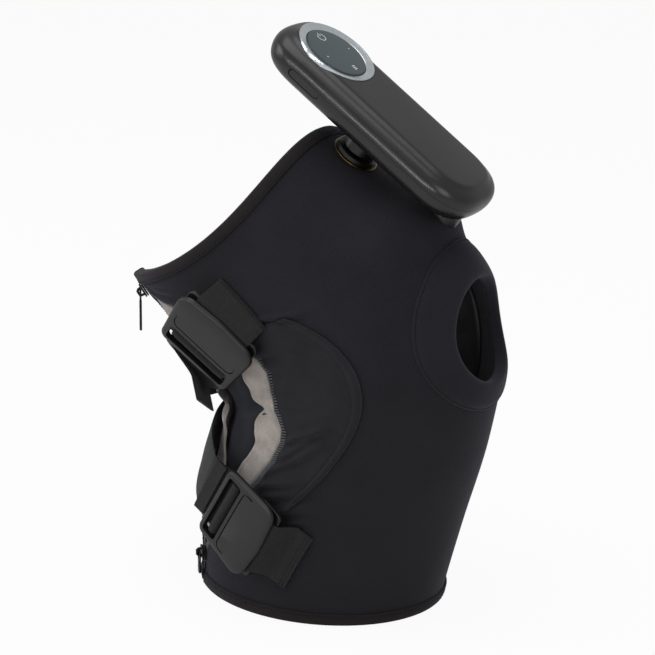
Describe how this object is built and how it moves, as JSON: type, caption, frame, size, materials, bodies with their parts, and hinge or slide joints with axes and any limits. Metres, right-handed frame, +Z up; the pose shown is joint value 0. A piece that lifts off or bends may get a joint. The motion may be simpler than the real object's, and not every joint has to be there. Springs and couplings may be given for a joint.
{
  "type": "hot cold therapy machine",
  "caption": "Knee sleeve that heats or cools the joint, with a control pod on two snaps, an open rear zip, and two strap clips.",
  "frame": {"origin": "centre of the calf opening, in the plane of the calf hem", "axes": "+Z up the calf, -Y the way the kneecap faces, -X the wearer's right side, where the clips are"},
  "size_m": [0.1433, 0.2322, 0.3317],
  "materials": {
    "shell_fabric": "knitted neoprene, matt",
    "mesh_fabric": "perforated stretch knit",
    "pad_fabric": "moulded foam under smooth knit",
    "binding": "folded elastic tape, stitched",
    "lining": "brushed loop lining",
    "insert_fabric": "thin stretch knit, navy",
    "fleece": "short grey fleece",
    "zip_tape": "woven tape",
    "zip_teeth": "nylon coil",
    "zip_metal": "dark plated, worn",
    "webbing": "woven nylon webbing",
    "clip_plastic": "fine spark-eroded texture",
    "heater_film": "carbon film",
    "ribbon": "flexible circuit",
    "cutout": "moulded",
    "gel_film": "clear film over gel",
    "snap_plastic": "moulded",
    "snap_brass": "turned rim, lightly tarnished",
    "washer_steel": "pressed",
    "case_plastic": "fine matt texture",
    "bezel_metal": "brushed round",
    "disc_gloss": "gloss, printed marks",
    "soft_rubber": "matt rubber",
    "board": "solder mask",
    "switch_metal": "pressed",
    "led": "clear lens",
    "cell_wrap": "shrink film",
    "cradle_plastic": "moulded",
    "port_metal": "drawn shell",
    "screw_steel": "pan head"
  },
  "bodies": {
    "sleeve": {"front_panel": "shell_fabric", "right_side_panel": "shell_fabric", "left_side_panel": "shell_fabric", "right_knee_gusset": "mesh_fabric", "left_knee_gusset": "mesh_fabric", "patella_pad": "pad_fabric", "thigh_binding": "binding", "calf_binding": "binding", "front_lining": "lining", "right_lining": "lining", "left_lining": "lining", "popliteal_insert": "insert_fabric", "right_zip_guard": "fleece", "left_zip_guard": "fleece", "right_zip_tape": "zip_tape", "left_zip_tape": "zip_tape", "right_zip_teeth": "zip_teeth", "left_zip_teeth": "zip_teeth", "upper_zip_slider": "zip_metal", "lower_zip_slider": "zip_metal", "upper_anchor_web": "webbing", "lower_anchor_web": "webbing", "upper_receiver": "clip_plastic", "lower_receiver": "clip_plastic", "upper_strap": "webbing", "lower_strap": "webbing", "upper_strap_tail": "webbing", "lower_strap_tail": "webbing", "right_heater_film": "heater_film", "left_heater_film": "heater_film", "heater_ribbon": "ribbon", "thermal_cutout": "cutout", "right_gel_pad": "gel_film", "left_gel_pad": "gel_film", "snap_sockets": "snap_plastic", "snap_rims": "snap_brass", "snap_washers": "washer_steel"},
    "pod": {"pod_lower_case": "case_plastic", "pod_upper_case": "case_plastic", "bezel_ring": "bezel_metal", "main_board": "board", "tact_switches": "switch_metal", "status_leds": "led", "battery_cell": "cell_wrap", "battery_cradle": "cradle_plastic", "usb_port": "port_metal", "snap_studs": "snap_plastic", "case_screws": "screw_steel"},
    "pivot": {"pivot_dome": "soft_rubber"},
    "disc": {"control_disc": "disc_gloss"},
    "cover": {"port_cover": "soft_rubber"},
    "upper_buckle": {"upper_clip": "clip_plastic", "upper_strap_turn": "webbing"},
    "lower_buckle": {"lower_clip": "clip_plastic", "lower_strap_turn": "webbing"},
    "upper_pull": {"upper_zip_pull": "zip_metal"},
    "lower_pull": {"lower_zip_pull": "zip_metal"}
  },
  "joints": [
    {"name": "pod_lift", "type": "slide", "parent": "sleeve", "child": "pod", "axis": [0, -0.5835, 0.8121], "range_m": [0, 0.03]},
    {"name": "disc_rock", "type": "hinge", "parent": "pod", "child": "pivot", "pos_m": [0, -0.00872, 0.31657], "axis": [1, 0, 0], "range_deg": [-1.4, 1.4], "stiffness_Nm_per_rad": 1.5},
    {"name": "disc_roll", "type": "hinge", "parent": "pivot", "child": "disc", "pos_m": [0, -0.00872, 0.31657], "axis": [0, 0.8121, 0.5835], "range_deg": [-1.4, 1.4], "stiffness_Nm_per_rad": 1.5},
    {"name": "cover_swing", "type": "hinge", "parent": "pod", "child": "cover", "pos_m": [-0.02925, -0.00416, 0.3027], "axis": [0, -0.8121, -0.5835], "range_deg": [0, 100]},
    {"name": "upper_clip_lift", "type": "hinge", "parent": "sleeve", "child": "upper_buckle", "pos_m": [-0.05756, 0.04851, 0.14806], "axis": [0.1591, -0.7565, -0.6344], "range_deg": [0, 60]},
    {"name": "lower_clip_lift", "type": "hinge", "parent": "sleeve", "child": "lower_buckle", "pos_m": [-0.05811, 0.03401, 0.0681], "axis": [0.0684, 0.5176, -0.8529], "range_deg": [0, 60]},
    {"name": "upper_pull_swing", "type": "hinge", "parent": "sleeve", "child": "upper_pull", "pos_m": [-0.03529, 0.10129, 0.17307], "axis": [-0.7713, -0.4926, 0.4031], "range_deg": [-110, 25]},
    {"name": "lower_pull_swing", "type": "hinge", "parent": "sleeve", "child": "lower_pull", "pos_m": [-0.03961, 0.06115, 0.01974], "axis": [-0.7082, -0.7057, 0.0212], "range_deg": [-130, 5]}
  ]
}
